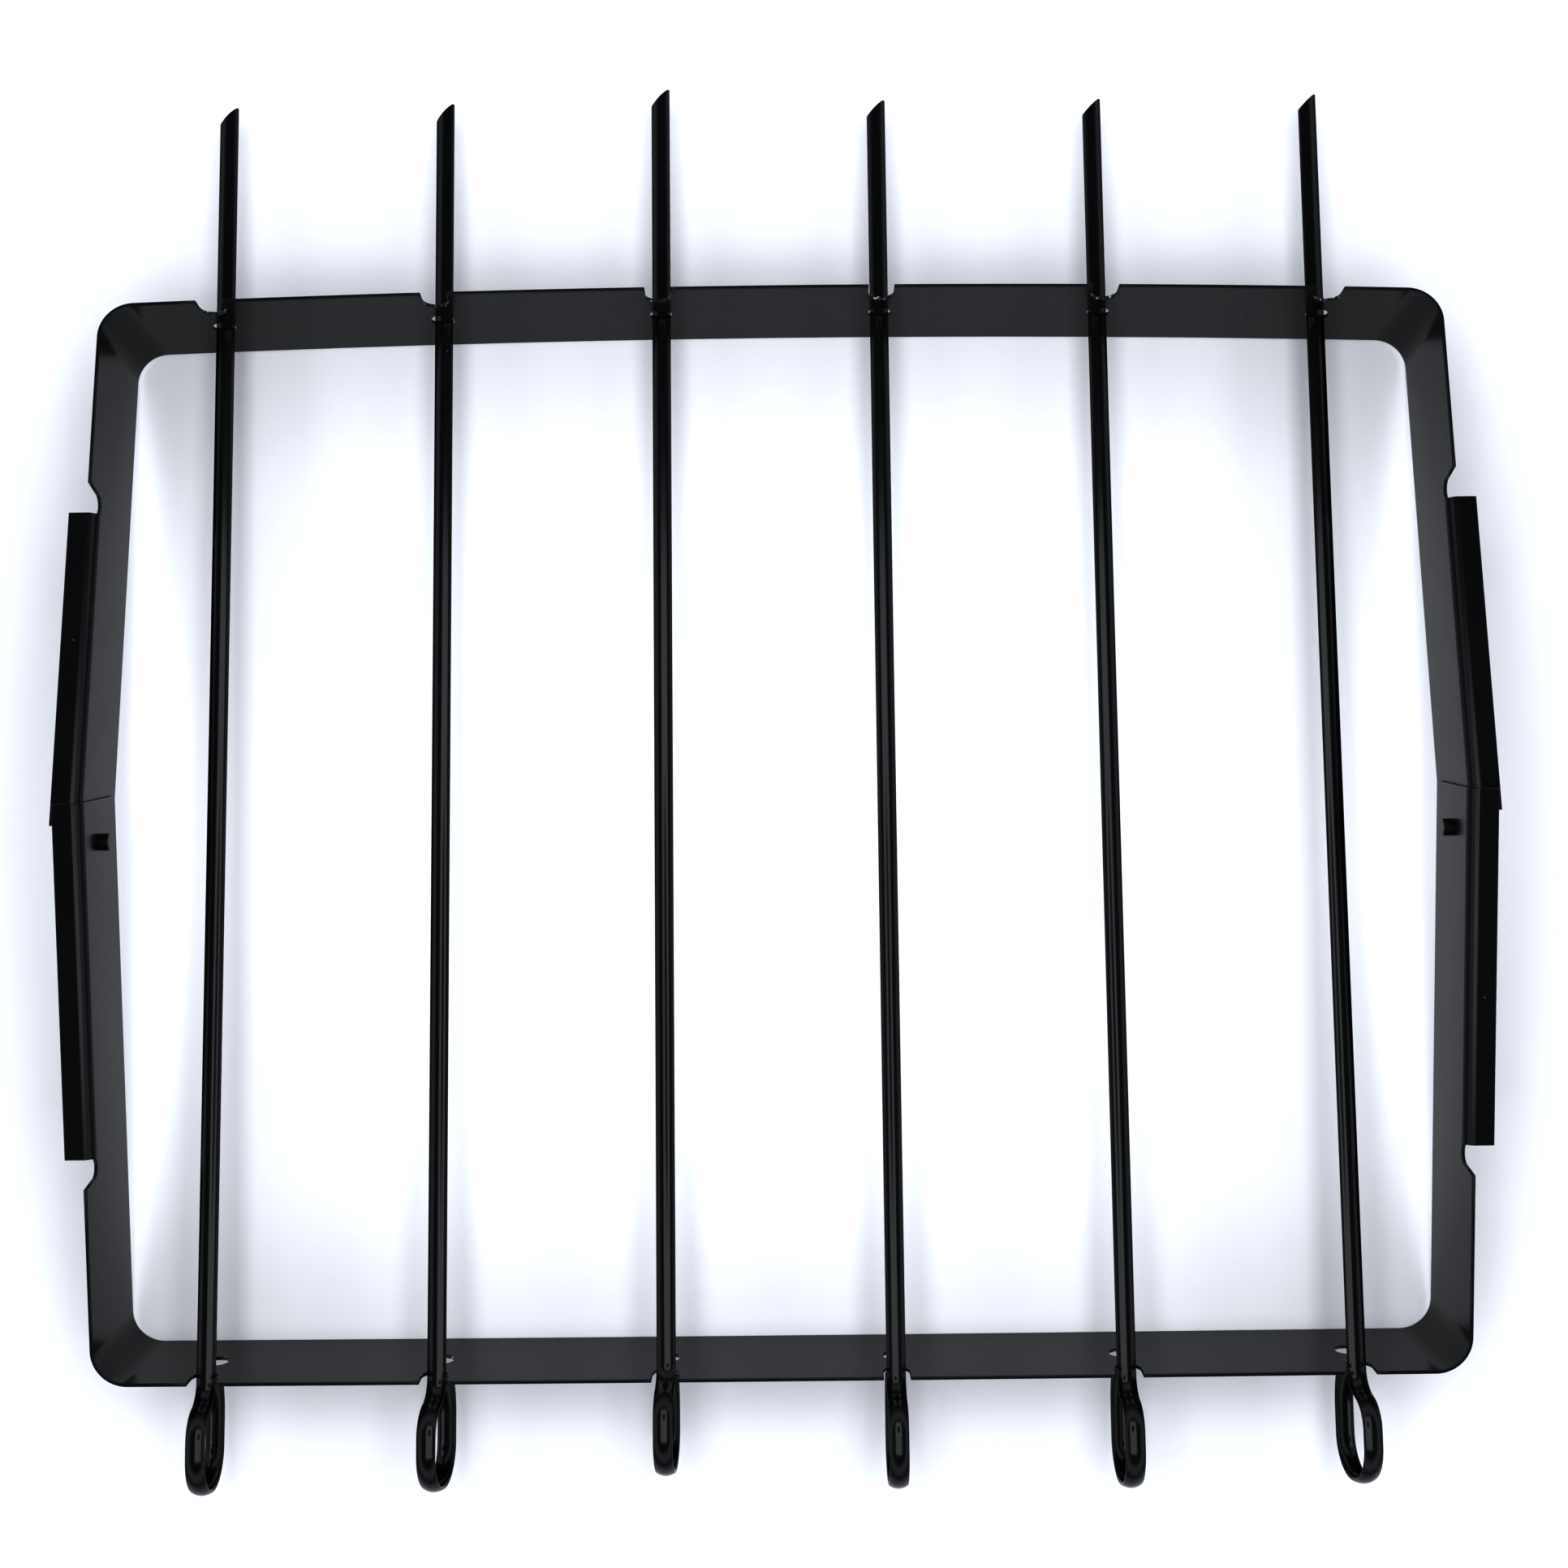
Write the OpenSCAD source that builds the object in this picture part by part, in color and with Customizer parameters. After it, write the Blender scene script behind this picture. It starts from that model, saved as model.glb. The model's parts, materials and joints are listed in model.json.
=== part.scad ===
// Folding kebab rack: two U-shaped sheet-metal halves, hinged at the sides,
// that carry six flat skewers with finger loops.
// X runs across the rack, Y towards the skewer tips, Z up. The origin lies on
// the surface that the rack stands on, under the middle of its overall length.

/* [Frame] */
// Outside width of the far half, across its side arms
frame_w = 379.5; // [300:0.5:460]
// Hinge axis to the outer face of the far bar, at its corners
far_reach = 151; // [120:0.5:190]
// Hinge axis to the outer face of the near bar, at its corners
near_reach = 147.5; // [120:0.5:190]
// Height of the strip that both halves are bent from
strip_h = 34; // [28:0.5:42]
// Thickness of the sheet
sheet = 1; // [0.8:0.1:1.2]
// Outside radius of the four corner bends
corner_r = 10; // [6:0.5:16]
// How far the far bar bulges outwards in its middle
far_bow = 3; // [0.2:0.1:5]
// How far the near bar bulges outwards in its middle
near_bow = 0.3; // [0.2:0.1:5]
// Sideways gap between the arms of the far half and the nested near half
nest_gap = 0.2; // [0.1:0.05:0.5]

/* [Side flanges] */
// Width of the folded flange, out from the arm's outer face
flange_w = 7; // [5:0.5:10]
// Inside radius of the flange's bend
bend_r = 2; // [1:0.25:3]
// Hinge axis to the corner end of the far half's flange
far_flange_end = 91; // [70:0.5:105]
// Hinge axis to the corner end of the near half's flange
near_flange_end = 86; // [70:0.5:105]
// Length of the relief notch between a flange and its corner
relief_len = 6.6; // [6:0.1:9]
// Radius of the relief notch's round bottom
relief_r = 2.9; // [2:0.05:3]

/* [Hinge] */
// Height of the hinge axis above the strip's bottom edge
pivot_h = 12.4; // [11:0.1:14]
// Length of the near half's arms past the hinge axis
near_past = 12; // [9:0.1:15]
// Hinge axis to the start of the far half's flange, which is the fold's stop
far_flange_start = 1.9; // [1.5:0.1:3]
// Diameter of the rivet's shank
rivet_d = 3.8; // [3:0.1:4.5]
// Diameter and length of the rivet's stub inside the frame
stub_d = 4.8; // [4.6:0.1:6]
stub_len = 2.4; // [2:0.1:5]
// Diameter and height of the rivet's domed head outside the frame
dome_d = 8; // [6:0.25:10]
dome_h = 1.8; // [1.2:0.1:2.5]
// Radial clearance of the rivet in its holes
rivet_clear = 0.05; // [0.02:0.01:0.1]
// Gap under each rivet head, and at the flange stop
face_gap = 0.1; // [0.05:0.05:0.3]

/* [Skewer seats] */
// Number of skewers
skewer_count = 6; // [6:1:6]
// Spacing of the skewers
pitch = 63.5; // [50:0.5:70]
// Width of the notches in the top edges
notch_w = 7.3; // [6.9:0.1:9]
// Depth of the notches
notch_depth = 8; // [6:0.5:10]
// Diameter of the holes under the notches
hole_d = 6.5; // [6.3:0.1:7.5]
// Height of the hole centres above the strip's bottom edge
hole_h = 17; // [15:0.5:18]
// Clearance under a skewer in its notch and in its hole
seat_clear = 0.2; // [0.15:0.05:0.4]

/* [Skewers] */
// Width of the skewer's strip
blade_w = 5.6; // [5:0.1:5.8]
// Thickness of the skewer's strip
blade_t = 1; // [0.8:0.1:1.2]
// How much the strip arches across its width
blade_arch = 1; // [0.6:0.1:1.4]
// Length of blade from the outer face of the near bar to the tip
blade_len = 366.5; // [345:0.5:400]
// Start of the neck, out from the near bar's outer face
neck_start = 0.3; // [0.1:0.1:3]
// Radius of the neck's upward bend
neck_r = 6.5; // [5:0.5:12]
// Radius of the loop's shoulder
shoulder_r = 9; // [7:0.5:12]
// Angle of the neck at its steepest
neck_angle = 70; // [50:1:75]
// Straight length on top of the loop
loop_top = 4.5; // [2:0.5:8]
// Radius of the loop's round end
loop_r = 11; // [9:0.5:14]
// Straight length under the loop of the skewer that is pushed in furthest
loop_bottom = 3.2; // [1:0.1:6]
// Radius and angle of the loop's rising tail
tail_r = 25; // [20:1:40]
tail_angle = 26; // [10:1:30]
// How much further in each skewer has been pushed, left to right
push_in = [-0.2, 0.3, 4.1, 0.1, -0.4, 0];
// How far each skewer has rolled about its length, left to right
roll = [1.5, -6, -2.5, 0.7, 2.1, 5.6];

/* [Hidden] */

coat = [0.07, 0.07, 0.08];
coat_light = [0.12, 0.12, 0.13];

far_half_w = frame_w / 2;
near_half_w = far_half_w - sheet - nest_gap;

// The strip keeps its flat length round the bend, so a wider flange lowers it.
bend_len = (bend_r + sheet / 2) * PI / 2;
fold_h = strip_h - (flange_w - bend_r) - bend_len;
fold_z = fold_h - pivot_h;
flange_z = fold_z + bend_r;
top_z = strip_h - pivot_h;

// Where the far flange's end meets the underside of the near flange, the two
// halves stop. fold_stop is the angle between them there.
stop_r = norm([far_flange_start, flange_z + sheet]);
fold_stop = acos((flange_z - face_gap) / stop_r)
    - atan2(far_flange_start, flange_z + sheet);

// The tongue round the rivet stays under the near half's bend.
tongue_gap = 0.8;
tongue_r = fold_z - tongue_gap;

// Both bars stand on one surface: each half's lean follows from its reach.
far_foot_y = far_reach + far_bow;
near_foot_y = near_reach + near_bow;
far_arm = norm([far_foot_y, pivot_h]);
near_arm = norm([near_foot_y, pivot_h]);
foot_angle = fold_stop + atan2(pivot_h, far_foot_y) + atan2(pivot_h, near_foot_y);
far_foot_angle = atan2(near_arm * sin(foot_angle), far_arm + near_arm * cos(foot_angle));
far_lean = far_foot_angle - atan2(pivot_h, far_foot_y);
near_lean = fold_stop - far_lean;
hinge_z = far_arm * sin(far_foot_angle);

// Skewer section: an arch of blade_t, with its crown at height 0.
arch_r = (pow(blade_w / 2, 2) + pow(blade_arch, 2)) / (2 * blade_arch);
arch_half = asin(blade_w / 2 / arch_r);
under_w = (arch_r - blade_t) * sin(arch_half);
under_drop = arch_r - (arch_r - blade_t) * cos(arch_half);

// Drop of the crown below the centre of a round seat of radius r
function seat_drop(r) = min(
    sqrt(pow(r - seat_clear, 2) - pow(under_w, 2)) - under_drop,
    sqrt(pow(r - seat_clear, 2) - pow(blade_w / 2, 2)) - blade_arch);

notch_r = notch_w / 2;
notch_z = top_z - notch_depth + notch_r;
hole_z = hole_h - pivot_h;
near_drop = seat_drop(notch_r);
far_drop = seat_drop(hole_d / 2);
roll_h = (near_drop + far_drop) / 2;

function skewer_x(i) = (i - (skewer_count - 1) / 2) * pitch;

// Radius of the arc that a bar follows, and the bar's outer face at x
function bow_r(half_w, bow) = (pow(half_w - corner_r, 2) + bow * bow) / (2 * bow);
function bar_y(x, half_w, reach, bow) =
    reach + bow - bow_r(half_w, bow) + sqrt(pow(bow_r(half_w, bow), 2) - x * x);

// A point of the far or near half, [y, z] from the hinge axis, as it stands
function far_point(y, z) =
    [y * cos(far_lean) + z * sin(far_lean), z * cos(far_lean) - y * sin(far_lean)];
function near_point(y, z) =
    [-y * cos(near_lean) - z * sin(near_lean), z * cos(near_lean) - y * sin(near_lean)];

function near_seat(i) =
    near_point(bar_y(skewer_x(i), near_half_w, near_reach, near_bow), notch_z - near_drop);
function far_seat(i) =
    far_point(bar_y(skewer_x(i), far_half_w, far_reach, far_bow) - sheet / 2, hole_z - far_drop);
function skewer_slope(i) = let (d = far_seat(i) - near_seat(i)) atan2(-d[1], d[0]);

// The loop's centre line, as [y, z, heading]; heading 0 points away from the
// tip, and the steps are the segments of each arc.
function bend(from, r, angle, steps) = [for (k = [1 : steps])
    let (a = from[2] + angle * k / steps, s = sign(angle))
    [from[0] - s * r * (sin(a) - sin(from[2])), from[1] - s * r * (cos(a) - cos(from[2])), a]];
function run(from, len) = [[from[0] - len * cos(from[2]), from[1] + len * sin(from[2]), from[2]]];
function last(v) = v[len(v) - 1];

neck_path = bend([-neck_start, -blade_t / 2, 0], neck_r, neck_angle, 6);
shoulder_path = bend(last(neck_path), shoulder_r, -neck_angle, 7);
top_path = run(last(shoulder_path), loop_top);
end_path = bend(last(top_path), loop_r, -180, 16);
// Every tail ends the same distance from the near bar, however far its skewer is
// pushed in.
function under_path(i) = run(last(end_path), loop_bottom + max(push_in) - push_in[i]);
function tail_path(i) = bend(last(under_path(i)), tail_r, -tail_angle, 4);
function loop_path(i) = concat([[-neck_start, -blade_t / 2, 0]], neck_path, shoulder_path,
    top_path, end_path, under_path(i), tail_path(i));
loop_reach = last(top_path)[0] - loop_r - blade_t / 2;

// Overall length, for centring: the furthest tip and the furthest loop end
function tip_y(i) = near_seat(i)[0] + (blade_len + push_in[i]) * cos(skewer_slope(i));
function loop_y(i) = near_seat(i)[0] + (loop_reach + push_in[i]) * cos(skewer_slope(i));
hinge_y = -(max([for (i = [0 : skewer_count - 1]) tip_y(i)])
    + min([for (i = [0 : skewer_count - 1]) loop_y(i)])) / 2;

corner_steps = 16;
bow_steps = 24;
eps = 0.01;

function reversed(v) = [for (k = [len(v) - 1 : -1 : 0]) v[k]];
function arc_points(c, r, from, to, steps) = [for (k = [0 : steps])
    let (a = from + (to - from) * k / steps) [c[0] + r * cos(a), c[1] + r * sin(a)]];

// One face of the U in plan, inset from the outer face by "inset"
function u_side(half_w, reach, bow, past, inset) = let (
    big = bow_r(half_w, bow), yb = reach + bow - big,
    cx = half_w - corner_r, cy = yb + sqrt(pow(big - corner_r, 2) - cx * cx),
    turn = atan2(cy - yb, cx),
    bar = arc_points([0, yb], big - inset, turn, 180 - turn, bow_steps))
    concat([[half_w - inset, -past]],
        arc_points([cx, cy], corner_r - inset, 0, turn, corner_steps),
        [for (k = [1 : bow_steps - 1]) bar[k]],
        arc_points([-cx, cy], corner_r - inset, 180 - turn, 180, corner_steps),
        [[inset - half_w, -past]]);

// Side view of an arm: full height at the corner, lower along the flange, with
// the relief notch between them. y0 is the arm's hinge end.
module arm_profile(reach, y0, flange_from, flange_to) {
    relief_c = flange_to + relief_r - 0.4;
    relief_edge = flange_to + relief_len;
    difference() {
        translate([y0, -pivot_h]) square([reach + corner_r - y0, strip_h]);
        translate([y0 - 1, fold_z])
            square([flange_to - y0 + 1, strip_h]);
        translate([relief_c, fold_z + relief_r]) circle(relief_r, $fn = 48);
        polygon([[flange_to - eps, fold_z + relief_r], [relief_c + relief_r, fold_z + relief_r],
            [relief_edge, top_z + eps], [flange_to - eps, top_z + eps]]);
        if (flange_from > y0)
            translate([y0 - 1, -pivot_h - 1]) square([1 - y0, strip_h + 2]);
    }
}

// The folded flange of a right-hand arm
module flange(half_w, from, to) {
    c = [half_w + bend_r, fold_z];
    section = concat([[half_w - sheet, fold_z - 1]],
        arc_points(c, bend_r + sheet, 180, 90, 8),
        [[half_w + flange_w, flange_z + sheet], [half_w + flange_w, flange_z]],
        arc_points(c, bend_r, 90, 180, 8), [[half_w, fold_z - 1]]);
    translate([0, to, 0]) rotate([90, 0, 0]) linear_extrude(to - from) polygon(section);
}

// Notch and hole for each skewer, cut along Y through the bar
module seats(reach, bow) {
    depth = 4 * sheet + 2 * bow + 6;
    for (i = [0 : skewer_count - 1])
        translate([skewer_x(i), reach + bow + 3, 0]) rotate([90, 0, 0]) {
            translate([0, hole_z, 0]) cylinder(d = hole_d, h = depth, $fn = 64);
            translate([0, notch_z, 0]) cylinder(r = notch_r, h = depth, $fn = 64);
            translate([-notch_r, notch_z, 0]) cube([notch_w, strip_h, depth]);
        }
}

// One half of the frame, with its bar towards +Y and the hinge axis on X
module half(half_w, reach, bow, past, flange_from, flange_to) {
    difference() {
        union() {
            intersection() {
                translate([0, 0, -pivot_h]) linear_extrude(strip_h)
                    polygon(concat(u_side(half_w, reach, bow, past, 0),
                        reversed(u_side(half_w, reach, bow, past, sheet))));
                translate([-half_w - 1, 0, 0]) rotate([90, 0, 90])
                    linear_extrude(2 * half_w + 2) children();
            }
            for (s = [0, 1]) mirror([s, 0, 0]) flange(half_w, flange_from, flange_to);
        }
        seats(reach, bow);
        rotate([0, 90, 0])
            cylinder(d = rivet_d + 2 * rivet_clear, h = 3 * half_w, center = true, $fn = 64);
    }
}

module far_frame() {
    color(coat_light) translate([0, hinge_y, hinge_z]) rotate([-far_lean, 0, 0])
        half(far_half_w, far_reach, far_bow, tongue_r, far_flange_start, far_flange_end)
            union() {
                arm_profile(far_reach, -tongue_r, far_flange_start, far_flange_end);
                circle(tongue_r, $fn = 96);
            }
}

module near_frame() {
    color(coat_light) translate([0, hinge_y, hinge_z]) rotate([near_lean, 0, 0]) mirror([0, 1, 0])
        half(near_half_w, near_reach, near_bow, near_past, -near_past, near_flange_end)
            arm_profile(near_reach, -near_past, -near_past, near_flange_end);
}

// A rivet on the right-hand arm, turned from its stub inside to its dome outside
module rivet() {
    inner_x = near_half_w - sheet - face_gap;
    outer_x = far_half_w + face_gap;
    chamfer = 0.3;
    dome_r = (pow(dome_d / 2, 2) + dome_h * dome_h) / (2 * dome_h);
    dome_half = asin(dome_d / 2 / dome_r);
    color(coat) translate([0, hinge_y, hinge_z]) rotate([0, 90, 0]) rotate_extrude($fn = 64)
        polygon(concat([[0, inner_x - stub_len], [stub_d / 2 - chamfer, inner_x - stub_len],
            [stub_d / 2, inner_x - stub_len + chamfer], [stub_d / 2, inner_x],
            [rivet_d / 2, inner_x], [rivet_d / 2, outer_x]],
            arc_points([0, outer_x + dome_h - dome_r], dome_r, 90 - dome_half, 90, 8)));
}

module left_hinge_rivet() {
    mirror([1, 0, 0]) rivet();
}

module right_hinge_rivet() {
    rivet();
}

// One skewer: its arched section swept from the slanted tip to the loop's tail
module skewer(i) {
    arch_steps = 6;
    crown = arc_points([0, blade_t / 2 - arch_r], arch_r, 90 + arch_half, 90 - arch_half, arch_steps);
    hollow = arc_points([0, blade_t / 2 - arch_r], arch_r - blade_t, 90 - arch_half,
        90 + arch_half, arch_steps);
    section = concat(crown, hollow);
    n = len(section);
    tip_ring = [for (p = section) [p[0], blade_len - blade_w / 2 + p[0], p[1] - blade_t / 2]];
    path = loop_path(i);
    loop_rings = [for (q = path, p = section)
        [p[0], q[0] + p[1] * sin(q[2]), q[1] + p[1] * cos(q[2])]];
    rings = len(path) + 1;
    sides = [for (r = [0 : rings - 2], k = [0 : n - 1])
        [r * n + k, r * n + (k + 1) % n, (r + 1) * n + (k + 1) % n, (r + 1) * n + k]];
    caps = [[for (k = [n - 1 : -1 : 0]) k], [for (k = [0 : n - 1]) (rings - 1) * n + k]];
    color(coat) translate([skewer_x(i), hinge_y + near_seat(i)[0], hinge_z + near_seat(i)[1]])
        rotate([-skewer_slope(i), 0, 0]) translate([0, push_in[i], roll_h]) rotate([0, roll[i], 0])
            translate([0, 0, -roll_h])
                polyhedron(concat(tip_ring, loop_rings), concat(sides, caps), convexity = 6);
}

far_frame();
near_frame();
left_hinge_rivet();
right_hinge_rivet();
skewer(0);  // skewer_1
skewer(1);  // skewer_2
skewer(2);  // skewer_3
skewer(3);  // skewer_4
skewer(4);  // skewer_5
skewer(5);  // skewer_6
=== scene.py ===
import json
from math import asin, atan2, cos, hypot, pi, radians, sin, sqrt

import bmesh
import bpy
from mathutils import Euler, Matrix, Vector


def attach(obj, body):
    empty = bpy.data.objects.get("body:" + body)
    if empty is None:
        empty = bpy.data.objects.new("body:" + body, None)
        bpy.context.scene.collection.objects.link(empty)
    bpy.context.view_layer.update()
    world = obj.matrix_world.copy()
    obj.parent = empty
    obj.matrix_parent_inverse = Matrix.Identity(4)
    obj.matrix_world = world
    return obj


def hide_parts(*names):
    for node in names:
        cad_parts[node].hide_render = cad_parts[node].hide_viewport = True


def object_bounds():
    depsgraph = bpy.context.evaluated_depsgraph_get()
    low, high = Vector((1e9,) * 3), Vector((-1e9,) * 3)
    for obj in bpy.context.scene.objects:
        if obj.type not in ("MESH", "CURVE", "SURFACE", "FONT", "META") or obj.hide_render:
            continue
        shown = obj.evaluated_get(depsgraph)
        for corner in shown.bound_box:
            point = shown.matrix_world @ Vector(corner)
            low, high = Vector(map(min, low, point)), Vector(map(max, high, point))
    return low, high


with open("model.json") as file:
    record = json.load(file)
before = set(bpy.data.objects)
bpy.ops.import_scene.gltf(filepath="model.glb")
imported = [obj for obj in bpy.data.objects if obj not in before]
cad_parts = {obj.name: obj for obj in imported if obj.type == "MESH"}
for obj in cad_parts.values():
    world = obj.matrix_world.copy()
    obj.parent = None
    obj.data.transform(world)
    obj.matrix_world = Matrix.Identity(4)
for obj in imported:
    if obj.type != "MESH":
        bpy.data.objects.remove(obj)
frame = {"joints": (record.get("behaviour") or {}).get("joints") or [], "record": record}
cadLow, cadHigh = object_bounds()
print("frame loaded")

mm = 0.001
joints = {joint["name"]: joint for joint in frame["joints"]}
hinge = Vector(joints["fold_hinge"]["pos_m"])

# What both halves of the folded frame share, in millimetres
sheetMetal = {
    "stripHeight": 34,
    "thickness": 1,
    "cornerRadius": 10,
    "flangeWidth": 7,
    "bendRadius": 2,
    "pivotHeight": 12.4,
    "reliefLength": 6.6,
    "reliefRadius": 2.9,
    "boreRadius": 1.95,
    "tongueGap": 0.8,      # between a hinge tongue's top and the fold above it
    "flangeCut": 0.4,      # how far the relief notch cuts into the flange's end
    "edgeRounding": 0.28,  # the enamel draws into a soft edge
    "edgeSteps": 4,
    "mitreLimit": 0.4,     # keeps sharp corners of the outline from running out
    "tongueSteps": 40,
    "reliefSteps": 24,
    "boreSides": 32,
}
farHalf = {"halfWidth": 189.75, "reach": 151, "bow": 3, "flangeStart": 1.9, "flangeEnd": 91}
nearHalf = {"halfWidth": 188.55, "reach": 147.5, "bow": 0.3, "armEnd": 12, "flangeEnd": 86}

# A notch and a hole in each bar for every skewer
seats = {
    "count": 6,
    "pitch": 63.5,
    "notchWidth": 7.3,
    "notchDepth": 8,
    "holeDiameter": 6.5,
    "holeHeight": 17,
    "clearance": 0.2,
    "rubbedRim": 0.5,  # how far round a seat the enamel is worn
    "notchSteps": 28,
    "holeSides": 48,
}


# sRGB hex to the linear colour that the shaders take
def linear(hexColour):
    channels = [int(hexColour[i:i + 2], 16) / 255 for i in (1, 3, 5)]
    return [c / 12.92 if c <= 0.04045 else ((c + 0.055) / 1.055) ** 2.4 for c in channels] + [1]


# Settings and links are keyed by the socket's name or number, or the node's own property
def addNode(tree, kind, settings, links):
    node = tree.nodes.new("ShaderNode" + kind)
    for key, value in settings.items():
        if isinstance(key, int) or key in node.inputs:
            node.inputs[key].default_value = value
        else:
            setattr(node, key, value)
    for key, source in links.items():
        tree.links.new(source, node.inputs[key])
    return node


def newTree(name):
    material = bpy.data.materials.new(name)
    material.use_nodes = True
    material.node_tree.nodes.clear()
    return material, material.node_tree


# Stove enamel, dipped and baked: a smooth black skin. The eye gets clear but soft-edged
# reflections, a faint orange peel, and steel where the skewers have rubbed a rim bare.
enamelSettings = {
    "black": "#0A0B0D",
    "worn": "#1A1B1E",
    "steel": "#C9CBCE",
    "dust": "#8C9096",
    "roughness": 0.24,
    "roughnessSpread": 0.05,
    "ior": 1.5,
    "peelMm": 1.6,        # real orange peel is about this coarse
    "peelDepthMm": 0.004,
    "cloudMm": 45,
    "specksMm": 5.5,      # dust specks, drawn a little coarser than real ones
    "speckSize": 0.035,   # a speck's radius as a share of its cell
    "speckless": 0.86,    # share of the cells that stay clean
    "patchMm": 0.9,       # grain of the worn spots
    "patchEdge": (0.58, 0.66),
}


def blackEnamel(name, look):
    material, tree = newTree(name)
    place = addNode(tree, "TexCoord", {}, {}).outputs["Object"]
    cloud = addNode(tree, "TexNoise", {"Scale": 1 / (look["cloudMm"] * mm), "Detail": 3.0},
                    {"Vector": place}).outputs["Fac"]
    tint = addNode(tree, "Mix", {"data_type": "RGBA", 6: linear(look["black"]),
                                 7: linear(look["worn"])}, {0: cloud}).outputs[2]
    # Sparse dust: only the very middle of some cells
    cells = addNode(tree, "TexVoronoi", {"Scale": 1 / (look["specksMm"] * mm)}, {"Vector": place})
    speck = addNode(tree, "Math", {"operation": "LESS_THAN", 1: look["speckSize"]},
                    {0: cells.outputs["Distance"]}).outputs[0]
    chosen = addNode(tree, "SeparateColor", {}, {0: cells.outputs["Color"]}).outputs[0]
    rare = addNode(tree, "Math", {"operation": "GREATER_THAN", 1: look["speckless"]},
                   {0: chosen}).outputs[0]
    dusty = addNode(tree, "Math", {"operation": "MULTIPLY"}, {0: speck, 1: rare}).outputs[0]
    skin = addNode(tree, "Mix", {"data_type": "RGBA", 7: linear(look["dust"])},
                   {0: dusty, 6: tint}).outputs[2]
    # Bare steel on rubbed rims, broken up by noise
    rub = addNode(tree, "Attribute", {"attribute_name": "rub"}, {}).outputs["Fac"]
    patch = addNode(tree, "TexNoise", {"Scale": 1 / (look["patchMm"] * mm), "Detail": 2.0},
                    {"Vector": place}).outputs["Fac"]
    broken = addNode(tree, "MapRange", {"From Min": look["patchEdge"][0],
                                        "From Max": look["patchEdge"][1]},
                     {"Value": patch}).outputs[0]
    bare = addNode(tree, "Math", {"operation": "MULTIPLY"}, {0: rub, 1: broken}).outputs[0]
    colour = addNode(tree, "Mix", {"data_type": "RGBA", 7: linear(look["steel"])},
                     {0: bare, 6: skin}).outputs[2]
    rough = addNode(tree, "MapRange", {"To Min": look["roughness"] - look["roughnessSpread"],
                                       "To Max": look["roughness"] + look["roughnessSpread"]},
                    {"Value": cloud}).outputs[0]
    peel = addNode(tree, "TexNoise", {"Scale": 1 / (look["peelMm"] * mm), "Detail": 1.5},
                   {"Vector": place}).outputs["Fac"]
    bump = addNode(tree, "Bump", {"Strength": 0.5, "Distance": look["peelDepthMm"] * mm},
                   {"Height": peel}).outputs[0]
    shader = addNode(tree, "BsdfPrincipled", {"IOR": look["ior"]},
                     {"Base Color": colour, "Roughness": rough, "Metallic": bare,
                      "Normal": bump}).outputs[0]
    addNode(tree, "OutputMaterial", {}, {"Surface": shader})
    return material


# Matt laminate table top: pale and even, with soft shadows and no mirror image
laminate = {"pale": "#F6F7F9", "palest": "#FAFBFC", "grainMm": 60, "roughness": 0.75, "specular": 0.2}


def tableLaminate():
    material, tree = newTree("paleLaminate")
    place = addNode(tree, "TexCoord", {}, {}).outputs["Object"]
    grain = addNode(tree, "TexNoise", {"Scale": 1 / (laminate["grainMm"] * mm), "Detail": 4.0},
                    {"Vector": place}).outputs["Fac"]
    colour = addNode(tree, "Mix", {"data_type": "RGBA", 6: linear(laminate["pale"]),
                                   7: linear(laminate["palest"])}, {0: grain}).outputs[2]
    shader = addNode(tree, "BsdfPrincipled", {"Roughness": laminate["roughness"],
                                              "Specular IOR Level": laminate["specular"]},
                     {"Base Color": colour}).outputs[0]
    addNode(tree, "OutputMaterial", {}, {"Surface": shader})
    return material


frameEnamel = blackEnamel("blackStoveEnamelSheet", enamelSettings)
skewerEnamel = blackEnamel("blackStoveEnamelSkewer", dict(enamelSettings, roughness=0.17, cloudMm=30))
rivetEnamel = blackEnamel("blackEnamelRivet", dict(enamelSettings, cloudMm=8))
print("materials ready")


def addPiece(name, points, normals, faces, rub, matrix, material, body, node):
    mesh = bpy.data.meshes.new(name)
    turned = []
    for face in faces:
        flat = sum(((points[face[k]] - points[face[0]]).cross(points[face[k + 1]] - points[face[0]])
                    for k in range(1, len(face) - 1)), Vector())
        out = sum((normals[k] for k in face), Vector())
        turned.append(face if flat.dot(out) > 0 else face[::-1])
    mesh.from_pydata([matrix @ p for p in points], [], turned)
    mesh.polygons.foreach_set("use_smooth", [True] * len(turned))
    spin = matrix.to_3x3()
    mesh.normals_split_custom_set_from_vertices([(spin @ n).normalized() for n in normals])
    mesh.attributes.new("rub", "FLOAT", "POINT").data.foreach_set("value", rub)
    mesh.materials.append(material)
    piece = bpy.data.objects.new(name, mesh)
    bpy.context.scene.collection.objects.link(piece)
    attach(piece, body)
    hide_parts(node)


def arc(centre, radius, start, end, steps):
    return [(centre[0] + radius * cos(start + (end - start) * k / steps),
             centre[1] + radius * sin(start + (end - start) * k / steps)) for k in range(steps + 1)]


# The fold keeps the strip's length, so a wide flange lowers the fold
bendLength = (sheetMetal["bendRadius"] + sheetMetal["thickness"] / 2) * pi / 2
foldHeight = (sheetMetal["stripHeight"] - (sheetMetal["flangeWidth"] - sheetMetal["bendRadius"])
              - bendLength)
farHalf["tongueRadius"] = foldHeight - sheetMetal["pivotHeight"] - sheetMetal["tongueGap"]


def bowRadius(half):
    reachWidth = half["halfWidth"] - sheetMetal["cornerRadius"]
    return (reachWidth ** 2 + half["bow"] ** 2) / (2 * half["bow"])


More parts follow.
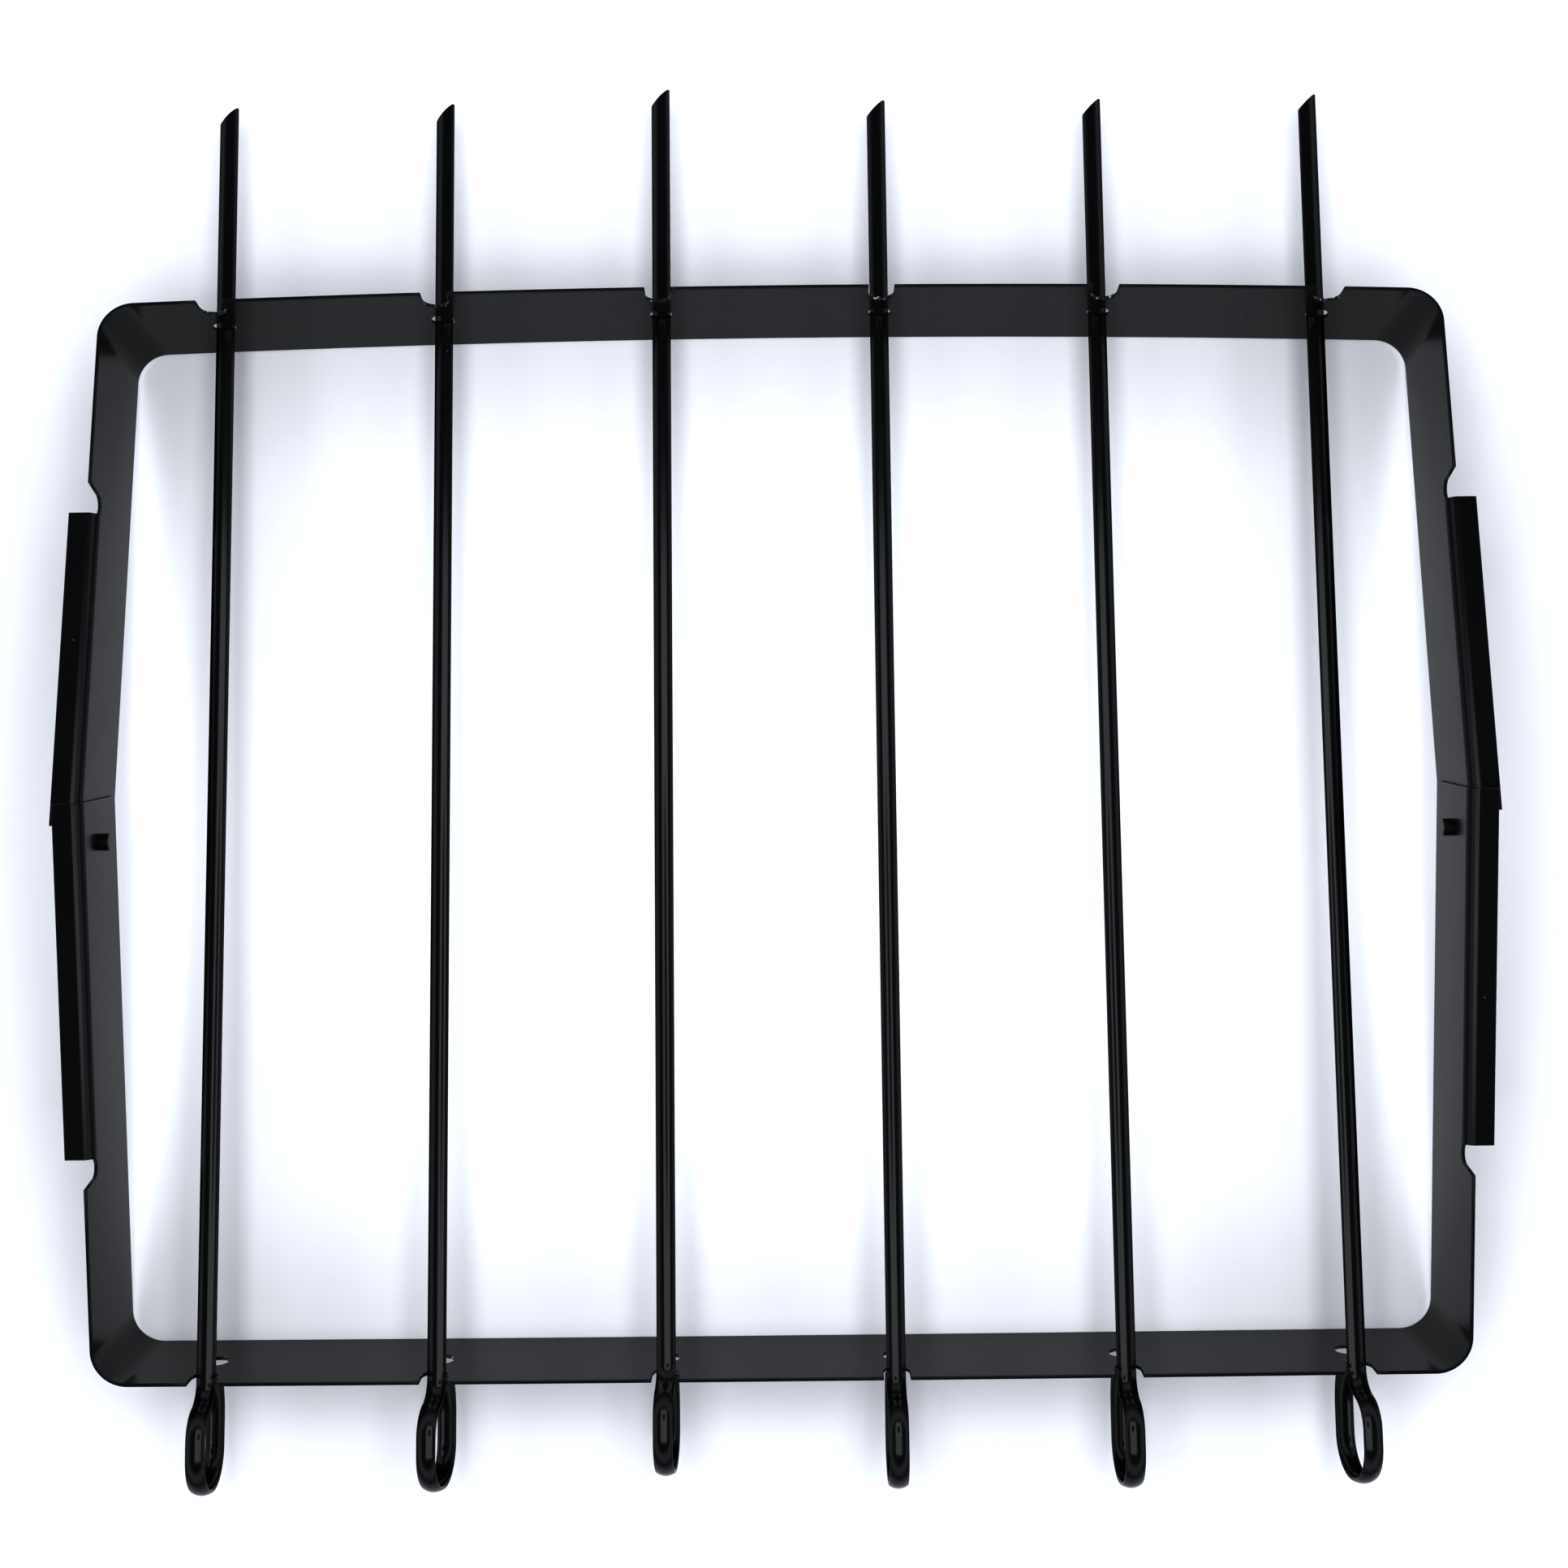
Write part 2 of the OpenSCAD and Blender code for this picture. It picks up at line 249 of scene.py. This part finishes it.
def barFace(half, x):
    big = bowRadius(half)
    return half["reach"] + half["bow"] - big + sqrt(big * big - x * x)


# Where the plan of the U changes from bar to corner to arm
def planOf(half):
    radius = sheetMetal["cornerRadius"]
    big = bowRadius(half)
    bowCentre = half["reach"] + half["bow"] - big
    cornerX = half["halfWidth"] - radius
    cornerY = bowCentre + sqrt((big - radius) ** 2 - cornerX ** 2)
    turn = atan2(cornerY - bowCentre, cornerX)
    barEnd = big * cos(turn)
    return {"big": big, "bowCentre": bowCentre, "corner": (cornerX, cornerY), "turn": turn,
            "barEnd": barEnd, "armStart": barEnd + radius * turn}


def armPosition(half, y):
    plan = half["plan"]
    return plan["armStart"] + plan["corner"][1] - y


# Share of the fold at a place along the arm: whole along the flange, none past the relief
def foldShare(half, y):
    easing = sheetMetal["reliefRadius"] - sheetMetal["flangeCut"]
    t = min(max((y - half["flangeEnd"]) / easing, 0), 1)
    return 1 - t * t * (3 - 2 * t)


# Flat sheet to folded half: along is measured from the middle of the bar round the U,
# height from the strip's bottom edge, depth from the outer face
def placeOnSheet(half, along, height, depth):
    plan = half["plan"]
    side = 1 if along >= 0 else -1
    along = abs(along)
    radius = sheetMetal["cornerRadius"]
    middle = sheetMetal["thickness"] / 2
    leastShare = 0.001  # a smaller share of the fold counts as flat
    rise, fold, out = height, 0.0, 0.0
    if along <= plan["barEnd"]:
        x, y = along, barFace(half, along)
        normal = (x / plan["big"], (y - plan["bowCentre"]) / plan["big"])
    elif along <= plan["armStart"]:
        angle = plan["turn"] - (along - plan["barEnd"]) / radius
        normal = (cos(angle), sin(angle))
        x, y = plan["corner"][0] + radius * normal[0], plan["corner"][1] + radius * normal[1]
    else:
        x, y = half["halfWidth"], plan["corner"][1] - (along - plan["armStart"])
        normal = (1, 0)
        share = foldShare(half, y)
        if height > foldHeight and share > leastShare:
            foldRadius = bendLength / (share * pi / 2)
            bent = min(height - foldHeight, bendLength)
            fold = bent / foldRadius
            flat = height - foldHeight - bent
            out = foldRadius * (1 - cos(fold)) + flat * sin(fold)
            rise = foldHeight + foldRadius * sin(fold) + flat * cos(fold)
    lift = middle - depth
    return Vector((side * (x + normal[0] * (out - middle + lift * cos(fold))),
                   y + normal[1] * (out - middle + lift * cos(fold)),
                   rise - sheetMetal["pivotHeight"] - lift * sin(fold)))


def sheetAxes(half, along, height):
    step = 0.01
    depth = sheetMetal["thickness"] / 2
    runs = (placeOnSheet(half, along + step, height, depth)
            - placeOnSheet(half, along - step, height, depth)).normalized()
    climbs = (placeOnSheet(half, along, height + step, depth)
              - placeOnSheet(half, along, height - step, depth)).normalized()
    outward = runs.cross(climbs).normalized()
    check = placeOnSheet(half, along, height, 0) - placeOnSheet(half, along, height, depth)
    return runs, climbs, outward if outward.dot(check) > 0 else -outward


def seatPlaces():
    return [(k + 0.5) * seats["pitch"] for k in range(seats["count"] // 2)]


# Right-hand half of the flat outline, from the middle of the bar's bottom edge
# to the middle of its top edge
def flatOutline(half):
    top = sheetMetal["stripHeight"]
    radius, cut = sheetMetal["reliefRadius"], sheetMetal["flangeCut"]
    flangeEnd = half["flangeEnd"]
    points = []
    if "tongueRadius" in half:
        end = armPosition(half, 0)
        tongue = half["tongueRadius"]
        start = armPosition(half, half["flangeStart"])
        points += [(end, 0)]
        points += arc((end, sheetMetal["pivotHeight"]), tongue, -pi / 2, pi / 2,
                      sheetMetal["tongueSteps"])
        points += [(end, foldHeight), (start, foldHeight), (start, top)]
    else:
        end = armPosition(half, -half["armEnd"])
        points += [(end, 0), (end, top)]
    flangeAt = armPosition(half, flangeEnd)
    reliefAt = armPosition(half, flangeEnd + radius - cut)
    points += [(flangeAt, top)]
    reliefStart = -asin(sqrt(1 - (1 - cut / radius) ** 2))
    points += arc((reliefAt, foldHeight + radius), radius, reliefStart, -pi,
                  sheetMetal["reliefSteps"])
    points += [(armPosition(half, flangeEnd + sheetMetal["reliefLength"]), top)]
    notch = seats["notchWidth"] / 2
    floor = top - seats["notchDepth"] + notch
    for x in reversed(seatPlaces()):
        bottom = arc((x, floor), notch, 0, -pi, seats["notchSteps"])
        points += [(x + notch, top)] + bottom + [(x - notch, top)]
    return points


def holesInSheet(half):
    holes = []
    for side in (-1, 1):
        pivot = (side * armPosition(half, 0), sheetMetal["pivotHeight"])
        holes.append(arc(pivot, sheetMetal["boreRadius"], 0, 2 * pi, sheetMetal["boreSides"])[:-1])
        for x in seatPlaces():
            holes.append(arc((side * x, seats["holeHeight"]), seats["holeDiameter"] / 2,
                             0, 2 * pi, seats["holeSides"])[:-1])
    return holes


# Moves a loop's points inwards or outwards by a distance, mitred at its corners
def offsetLoop(loop, distance):
    area = sum(a[0] * b[1] - b[0] * a[1] for a, b in zip(loop, loop[1:] + loop[:1])) / 2
    sign = 1 if area > 0 else -1
    moved = []
    for k, here in enumerate(loop):
        before, after = loop[k - 1], loop[(k + 1) % len(loop)]
        first = Vector((here[1] - before[1], before[0] - here[0])).normalized()
        second = Vector((after[1] - here[1], here[0] - after[0])).normalized()
        mitre = (first + second).normalized()
        reach = distance / max(mitre.dot(first), sheetMetal["mitreLimit"])
        moved.append((here[0] + sign * mitre.x * reach, here[1] + sign * mitre.y * reach))
    return moved


def flatSheet(half):
    right = flatOutline(half)
    outline = right + [(-x, h) for x, h in reversed(right)]
    soft = sheetMetal["edgeRounding"]
    sheet = bmesh.new()
    loops = [offsetLoop(outline, -soft)] + [offsetLoop(hole, soft) for hole in holesInSheet(half)]
    for loop in loops:
        corners = [sheet.verts.new((x, h, 0)) for x, h in loop]
        for a, b in zip(corners, corners[1:] + corners[:1]):
            sheet.edges.new((a, b))
    bmesh.ops.triangle_fill(sheet, use_beauty=True, use_dissolve=False, edges=sheet.edges[:])
    # Cuts across the bar, round the corners, over the flange's end and along the fold
    plan = half["plan"]
    barSteps, cornerSteps, endSteps, foldSteps = 14, 26, 5, 12
    cornerLength = plan["armStart"] - plan["barEnd"]
    endLength = sheetMetal["reliefRadius"] - sheetMetal["flangeCut"]
    cuts = [plan["barEnd"] * k / barSteps for k in range(barSteps + 1)]
    cuts += [plan["barEnd"] + cornerLength * k / cornerSteps for k in range(1, cornerSteps + 1)]
    cuts += [armPosition(half, half["flangeEnd"] + endLength * k / endSteps)
             for k in range(endSteps + 1)]
    planes = [((side * cut, 0, 0), (1, 0, 0)) for cut in cuts for side in (-1, 1)]
    planes += [((0, foldHeight + bendLength * k / foldSteps, 0), (0, 1, 0))
               for k in range(foldSteps + 1)]
    weld = 1e-4
    for place, direction in planes:
        everything = sheet.verts[:] + sheet.edges[:] + sheet.faces[:]
        bmesh.ops.bisect_plane(sheet, geom=everything, dist=weld, plane_co=place, plane_no=direction)
    bmesh.ops.remove_doubles(sheet, verts=sheet.verts[:], dist=weld)
    return sheet


# Whether the skewers rub a rim point: 1 at the holes and notches, 0 elsewhere
def rubbing(along, height):
    x = min(abs(abs(along) - place) for place in seatPlaces())
    rim, below = seats["rubbedRim"], 1
    top = sheetMetal["stripHeight"] - below
    inHole = hypot(x, height - seats["holeHeight"]) < seats["holeDiameter"] / 2 + rim
    inNotch = x < seats["notchWidth"] / 2 + rim and top - seats["notchDepth"] < height < top
    return 1.0 if inHole or inNotch else 0.0


def buildHalf(half, name, lean, flip, body, node):
    half["plan"] = planOf(half)
    sheet = flatSheet(half)
    thickness, soft = sheetMetal["thickness"], sheetMetal["edgeRounding"]
    steps = sheetMetal["edgeSteps"]
    points, normals, rub, faces = [], [], [], []
    sheet.verts.index_update()
    flats = [(v.co.x, v.co.y) for v in sheet.verts]
    axes = [sheetAxes(half, *flat) for flat in flats]
    for depth, sense in ((0, 1), (thickness, -1)):
        points += [placeOnSheet(half, u, h, depth) for u, h in flats]
        normals += [sense * axis[2] for axis in axes]
        rub += [0.0] * len(flats)
    count = len(flats)
    for face in sheet.faces:
        corners = [v.index for v in face.verts]
        faces += [corners, [count + k for k in corners]]
    # Rounded rims, ring by ring from the outer face to the inner one
    leastGrip = 0.5  # no corner is drawn out to more than twice the rounding
    rims = {}
    for v in sheet.verts:
        rimEdges = [e for e in v.link_edges if e.is_boundary]
        if not rimEdges:
            continue
        out = Vector((0, 0))
        for edge in rimEdges:
            run = edge.other_vert(v).co - v.co
            away = Vector((run.y, -run.x)).normalized()
            inner = edge.link_faces[0].calc_center_median() - v.co
            out += away if away.dot(inner.xy) < 0 else -away
        out.normalize()
        first = rimEdges[0].other_vert(v).co - v.co
        grip = abs(Vector((first.y, -first.x)).normalized().dot(out))
        reach = 1 / max(grip, leastGrip)
        runs, climbs, outward = axes[v.index]
        edgeWay = (runs * out.x + climbs * out.y).normalized()
        ring = [v.index]
        turns = [(pi / 2 * k / steps, 1) for k in range(1, steps + 1)]
        turns += [(pi / 2 * k / steps, -1) for k in range(steps, 0, -1)]
        for turn, sense in turns:
            stretch = soft * sin(turn) * reach
            depth = soft * (1 - cos(turn))
            u, h = flats[v.index][0] + out.x * stretch, flats[v.index][1] + out.y * stretch
            ring.append(len(points))
            points.append(placeOnSheet(half, u, h, depth if sense > 0 else thickness - depth))
            normals.append(outward * sense * cos(turn) + edgeWay * sin(turn))
            rub.append(rubbing(u, h))
        rims[v.index] = ring + [count + v.index]
    for edge in sheet.edges:
        if edge.is_boundary:
            a, b = rims[edge.verts[0].index], rims[edge.verts[1].index]
            faces += [[a[k], b[k], b[k + 1], a[k + 1]] for k in range(len(a) - 1)]
    sheet.free()
    # Placed before addPiece turns the faces outwards, because the near half is mirrored
    matrix = (Matrix.Translation(hinge) @ Matrix.Rotation(lean, 4, "X")
              @ Matrix.Diagonal((mm, -mm if flip else mm, mm, 1)))
    points = [matrix @ p for p in points]
    spin = Matrix.Rotation(lean, 3, "X") @ Matrix.Diagonal((1, -1 if flip else 1, 1))
    normals = [spin @ n for n in normals]
    addPiece(name, points, normals, faces, rub, Matrix.Identity(4), frameEnamel,
             body, node)


def footLean(mount):
    axis = next(m["axis"] for m in frame["record"]["mounts"] if m["name"] == mount)
    return atan2(abs(axis[1]), -axis[2])


farLean, nearLean = footLean("far_foot"), footLean("near_foot")
buildHalf(farHalf, "farFrameSheet", -farLean, False, "far_half", "far_frame")
buildHalf(nearHalf, "nearFrameSheet", nearLean, True, "near_half", "near_frame")
print("frame halves folded")


# Joins rings of equal length into a closed skin with a flat cap at each end
def ringFaces(rings, size):
    sides = [[r * size + k, r * size + (k + 1) % size, (r + 1) * size + (k + 1) % size,
              (r + 1) * size + k] for r in range(rings - 1) for k in range(size)]
    return sides + [list(range(size)), [(rings - 1) * size + k for k in range(size)]]


# Hinge rivet, turned about the fold axis, in millimetres from the frame's middle
rivet = {
    "stubRadius": 2.4,
    "stubLength": 2.4,
    "shankRadius": 1.9,
    "domeRadius": 4,
    "domeHeight": 1.8,
    "faceGap": 0.1,
    "edgeRounding": 0.35,
    "rimStep": 0.1,      # how far the head's underside stops short of its rim
    "crownAngle": 0.02,  # half the angle of the tiny flat on top of the dome
    "sides": 72,
}


def buildRivet(name, side, node):
    inner = nearHalf["halfWidth"] - sheetMetal["thickness"] - rivet["faceGap"]
    outer = farHalf["halfWidth"] + rivet["faceGap"]
    soft = rivet["edgeRounding"]
    stubEnd = inner - rivet["stubLength"]
    sphere = (rivet["domeRadius"] ** 2 + rivet["domeHeight"] ** 2) / (2 * rivet["domeHeight"])
    half = asin(rivet["domeRadius"] / sphere)
    # Radius and place along the axis, each with its normal, from the stub to the dome
    cornerSteps, domeSteps = 6, 16
    corner = arc((rivet["stubRadius"] - soft, stubEnd + soft), soft, -pi / 2, 0, cornerSteps)
    profile = []
    for k, place in enumerate(corner):
        a = pi / 2 * k / cornerSteps
        profile.append((place, (sin(a), -cos(a))))
    profile += [((rivet["stubRadius"], inner), (1, 0)), ((rivet["shankRadius"], inner), (0, 1)),
                ((rivet["shankRadius"], outer), (0, -1)),
                ((rivet["domeRadius"] - rivet["rimStep"], outer), (0.5, -0.8))]
    domeCentre = outer + rivet["domeHeight"] - sphere
    dome = arc((0, domeCentre), sphere, pi / 2 - half, pi / 2 - rivet["crownAngle"], domeSteps)
    profile += [((r, x), (r / sphere, (x - domeCentre) / sphere)) for r, x in dome]
    points, normals = [], []
    for (r, x), (outwards, along) in profile:
        for k in range(rivet["sides"]):
            a = 2 * pi * k / rivet["sides"]
            points.append(Vector((side * x, r * cos(a), r * sin(a))))
            normals.append(Vector((side * along, outwards * cos(a), outwards * sin(a))))
    faces = ringFaces(len(profile), rivet["sides"])
    matrix = Matrix.Translation(hinge) @ Matrix.Scale(mm, 4)
    addPiece(name, points, normals, faces, [0.0] * len(points), matrix, rivetEnamel,
             "near_half", node)


buildRivet("leftHingeRivet", -1, "left_hinge_rivet")
buildRivet("rightHingeRivet", 1, "right_hinge_rivet")
print("rivets turned")

# Flat arched strip with a bent finger loop, in millimetres and degrees
skewer = {
    "width": 5.6,
    "thickness": 1,
    "arch": 1,
    "length": 366.5,
    "neckStart": 0.3,
    "neckRadius": 6.5,
    "shoulderRadius": 9,
    "neckAngle": 70,
    "loopTop": 4.5,
    "loopRadius": 10.99,
    "loopBottom": 3.2,
    "tailRadius": 25,
    "tailAngle": 26,
    "pushIn": [-0.2, 0.3, 4.1, 0.1, -0.4, 0],
    "roll": [1.5, -6, -2.5, 0.7, 2.1, 5.6],
    "tipBulge": 0.3,       # the slanted cut is a little crowned
    "tipCornerWidth": 0.85,
    "tipCornerDrop": 0.75,
    "edgeRounding": 0.32,
    # Each ring of a rounded end: inset, distance along, share of the end's own normal
    "tipRings": ((0.26, 0.0, 1.0), (0.12, 0.05, 0.75), (0.03, 0.16, 0.4), (0.0, 0.32, 0.0)),
    "tailRings": ((0.0, -0.3, 0.0), (0.08, -0.1, 0.5), (0.26, 0.0, 1.0)),
    "stepAngle": 2.5,
}
archRadius = ((skewer["width"] / 2) ** 2 + skewer["arch"] ** 2) / (2 * skewer["arch"])
archHalf = asin(skewer["width"] / 2 / archRadius)


def seatDrop(radius):
    room = radius - seats["clearance"]
    underWidth = (archRadius - skewer["thickness"]) * sin(archHalf)
    underDrop = archRadius - (archRadius - skewer["thickness"]) * cos(archHalf)
    return min(sqrt(room ** 2 - underWidth ** 2) - underDrop,
               sqrt(room ** 2 - (skewer["width"] / 2) ** 2) - skewer["arch"])


# A point of one half, [y, z] from the hinge, as the half stands
def standing(lean, y, z, way):
    return way * (y * cos(lean) + z * sin(lean)), z * cos(lean) - y * sin(lean)


def skewerSeat(x):
    notchZ = (sheetMetal["stripHeight"] - sheetMetal["pivotHeight"] - seats["notchDepth"]
              + seats["notchWidth"] / 2)
    holeZ = seats["holeHeight"] - sheetMetal["pivotHeight"]
    nearDrop = seatDrop(seats["notchWidth"] / 2)
    farDrop = seatDrop(seats["holeDiameter"] / 2)
    near = standing(nearLean, barFace(nearHalf, x), notchZ - nearDrop, -1)
    far = standing(farLean, barFace(farHalf, x) - sheetMetal["thickness"] / 2, holeZ - farDrop, 1)
    return near, atan2(near[1] - far[1], far[0] - near[0]), (nearDrop + farDrop) / 2


# Arched section with rounded edges: points [across, up] with their normals
def stripSection():
    soft = skewer["edgeRounding"]
    low = skewer["thickness"] / 2 - archRadius
    outer, inner = archRadius, archRadius - skewer["thickness"]
    span = archHalf - asin(soft / (outer - soft))
    faceSteps, edgeSteps = 14, 4
    outline = []

    # Half a turn round one edge of the strip: a quarter for each face it joins
    def roundEdge(edge, start, radii):
        for quarter, radius in enumerate(radii):
            for k in range(1 - quarter, edgeSteps + 1 - quarter):
                a = start - pi / 2 * (quarter + k / edgeSteps)
                place = (radius * cos(edge) + soft * cos(a), low + radius * sin(edge) + soft * sin(a))
                outline.append((place, (cos(a), sin(a))))

    for k in range(faceSteps + 1):
        a = pi / 2 + span - 2 * span * k / faceSteps
        outline.append(((outer * cos(a), low + outer * sin(a)), (cos(a), sin(a))))
    roundEdge(pi / 2 - span, pi / 2 - span, (outer - soft, inner + soft))
    for k in range(faceSteps + 1):
        a = pi / 2 - span + 2 * span * k / faceSteps
        outline.append(((inner * cos(a), low + inner * sin(a)), (-cos(a), -sin(a))))
    roundEdge(pi / 2 + span, 3 * pi / 2 + span, (inner + soft, outer - soft))
    return outline


# The loop's centre line as [y, z, heading]; heading 0 points away from the tip
def loopPath(index):
    path = [(-skewer["neckStart"], -skewer["thickness"] / 2, 0.0)]

    def bend(radius, angle):
        y, z, start = path[-1]
        sign = 1 if angle > 0 else -1
        steps = max(int(abs(angle) / skewer["stepAngle"]), 2)
        for k in range(1, steps + 1):
            a = start + radians(angle) * k / steps
            path.append((y - sign * radius * (sin(a) - sin(start)),
                         z - sign * radius * (cos(a) - cos(start)), a))

    def run(length):
        y, z, a = path[-1]
        path.append((y - length * cos(a), z + length * sin(a), a))

    bend(skewer["neckRadius"], skewer["neckAngle"])
    bend(skewer["shoulderRadius"], -skewer["neckAngle"])
    run(skewer["loopTop"])
    bend(skewer["loopRadius"], -180)
    run(skewer["loopBottom"] + max(skewer["pushIn"]) - skewer["pushIn"][index])
    bend(skewer["tailRadius"], -skewer["tailAngle"])
    return path


def buildSkewer(index):
    x = (index - (seats["count"] - 1) / 2) * seats["pitch"]
    (seatY, seatZ), slope, rollHeight = skewerSeat(x)
    section = stripSection()
    size = len(section)
    points, normals = [], []
    # The slanted tip: a rounded cap with the cut's leading corner taken off
    halfWidth, halfThickness = skewer["width"] / 2, skewer["thickness"] / 2
    tipWay = Vector((-1, 1, 0)).normalized()
    for inset, back, tilt in skewer["tipRings"]:
        for (across, up), (nx, nz) in section:
            px, pz = across - inset * nx, up - inset * nz
            bulge = skewer["tipBulge"] * (1 - (px / halfWidth) ** 2)
            toCorner = max(1 - (halfWidth - px) / skewer["tipCornerWidth"], 0)
            corner = skewer["tipCornerDrop"] * toCorner ** 2
            tipY = skewer["length"] - halfWidth + px + bulge - corner - back
            points.append(Vector((px, tipY, pz - halfThickness)))
            normals.append((Vector((nx, 0, nz)) * (1 - tilt) + tipWay * tilt).normalized())
    # The straight blade, from the tip to the neck
    bladeSteps = 40
    bladeEnd = skewer["length"] - skewer["width"]
    for k in range(1, bladeSteps):
        y = bladeEnd - (bladeEnd + skewer["neckStart"]) * k / bladeSteps
        for (across, up), (nx, nz) in section:
            points.append(Vector((across, y, up - halfThickness)))
            normals.append(Vector((nx, 0, nz)))
    path = loopPath(index)
    for y, z, heading in path[:-1]:
        for (across, up), (nx, nz) in section:
            points.append(Vector((across, y + up * sin(heading), z + up * cos(heading))))
            normals.append(Vector((nx, nz * sin(heading), nz * cos(heading))))
    # The tail's rounded cap
    y, z, heading = path[-1]
    tailWay = Vector((0, -cos(heading), sin(heading)))
    for inset, ahead, tilt in skewer["tailRings"]:
        for (across, up), (nx, nz) in section:
            px, pz = across - inset * nx, up - inset * nz
            points.append(Vector((px, y + pz * sin(heading), z + pz * cos(heading))) + tailWay * ahead)
            side = Vector((nx, nz * sin(heading), nz * cos(heading)))
            normals.append((side * (1 - tilt) + tailWay * tilt).normalized())
    matrix = (Matrix.Translation(hinge) @ Matrix.Scale(mm, 4) @ Matrix.Translation((x, seatY, seatZ))
              @ Matrix.Rotation(-slope, 4, "X")
              @ Matrix.Translation((0, skewer["pushIn"][index], rollHeight))
              @ Matrix.Rotation(radians(skewer["roll"][index]), 4, "Y")
              @ Matrix.Translation((0, 0, -rollHeight)))
    number = str(index + 1)
    addPiece("skewerStrip" + number, points, normals, ringFaces(len(points) // size, size),
             [0.0] * len(points), matrix, skewerEnamel, "skewer_" + number, "skewer_" + number)


for skewerIndex in range(seats["count"]):
    buildSkewer(skewerIndex)
print("skewers bent")


def addFloor():
    mesh = bpy.data.meshes.new("tableTop")
    reach, z = 3.0, cadLow.z
    corners = [(-reach, -reach, z), (reach, -reach, z), (reach, reach, z), (-reach, reach, z)]
    mesh.from_pydata(corners, [], [(0, 1, 2, 3)])
    floor = bpy.data.objects.new("tableTop", mesh)
    mesh.materials.append(tableLaminate())
    bpy.context.scene.collection.objects.link(floor)


# Camera close above the rack, a little towards the handles; angles in degrees
view = {"offset": (4.707, -23.607), "height": 594.4, "angles": (3.836, 0.257, -0.631),
        "lens": 46.39, "sensor": 36}
camera = bpy.data.objects.new("camera", bpy.data.cameras.new("camera"))
camera.data.lens = view["lens"]
camera.data.sensor_width = view["sensor"]
camera.location = (hinge.x + view["offset"][0] * mm, hinge.y + view["offset"][1] * mm,
                   cadLow.z + view["height"] * mm)
camera.rotation_euler = Euler([radians(a) for a in view["angles"]])
bpy.context.scene.collection.objects.link(camera)
bpy.context.scene.camera = camera

# A square ring of soft boxes round the camera, which the crowned strips mirror,
# and a dim room whose walls glow palest at mid height
studio = {"ringHeight": 0.62, "ringInner": (0.085, 0.108), "ringOuter": (0.245, 0.285),
          "ringRadiance": 3.6, "zenith": 0.26, "wallGlow": 1.75, "zenithEdge": (0.6, 0.8),
          "floorEdge": (0.12, 0.45), "floorDim": 0.3, "boxColour": "#FBFCFF", "roomColour": "#F7F9FF",
          "gamma": 0.55}


def addSoftBox(name, place, size):
    light = bpy.data.lights.new(name, "AREA")
    light.shape = "RECTANGLE"
    light.size, light.size_y = size
    light.energy = studio["ringRadiance"] * pi * size[0] * size[1]
    light.color = linear(studio["boxColour"])[:3]
    lamp = bpy.data.objects.new(name, light)
    lamp.location = place
    lamp.visible_camera = False
    bpy.context.scene.collection.objects.link(lamp)


innerX, innerY = studio["ringInner"]
outerX, outerY = studio["ringOuter"]
centreX, centreY = camera.location.x, camera.location.y
for side in (-1, 1):
    addSoftBox("softBoxX", (centreX + side * (innerX + outerX) / 2, centreY, studio["ringHeight"]),
               (outerX - innerX, 2 * outerY))
    addSoftBox("softBoxY", (centreX, centreY + side * (innerY + outerY) / 2, studio["ringHeight"]),
               (2 * innerX, outerY - innerY))
addFloor()

world = bpy.data.worlds.new("dimRoom")
world.use_nodes = True
room = world.node_tree
room.nodes.clear()
way = addNode(room, "TexCoord", {}, {}).outputs["Generated"]
upward = addNode(room, "SeparateXYZ", {}, {0: way}).outputs["Z"]
upper = addNode(room, "MapRange", {"interpolation_type": "SMOOTHSTEP",
                                   "From Min": studio["zenithEdge"][0],
                                   "From Max": studio["zenithEdge"][1],
                                   "To Min": studio["wallGlow"], "To Max": studio["zenith"]},
                {"Value": upward}).outputs[0]
lower = addNode(room, "MapRange", {"interpolation_type": "SMOOTHSTEP",
                                   "From Min": studio["floorEdge"][0],
                                   "From Max": studio["floorEdge"][1],
                                   "To Min": studio["floorDim"], "To Max": 1.0},
                {"Value": upward}).outputs[0]
strength = addNode(room, "Math", {"operation": "MULTIPLY"}, {0: upper, 1: lower}).outputs[0]
glow = addNode(room, "Background", {"Color": linear(studio["roomColour"])},
               {"Strength": strength}).outputs[0]
addNode(room, "OutputWorld", {}, {"Surface": glow})
bpy.context.scene.world = world
bpy.context.scene.view_settings.view_transform = "Standard"
bpy.context.scene.view_settings.gamma = studio["gamma"]  # deepens the blacks, keeps the table white
print("stage set")
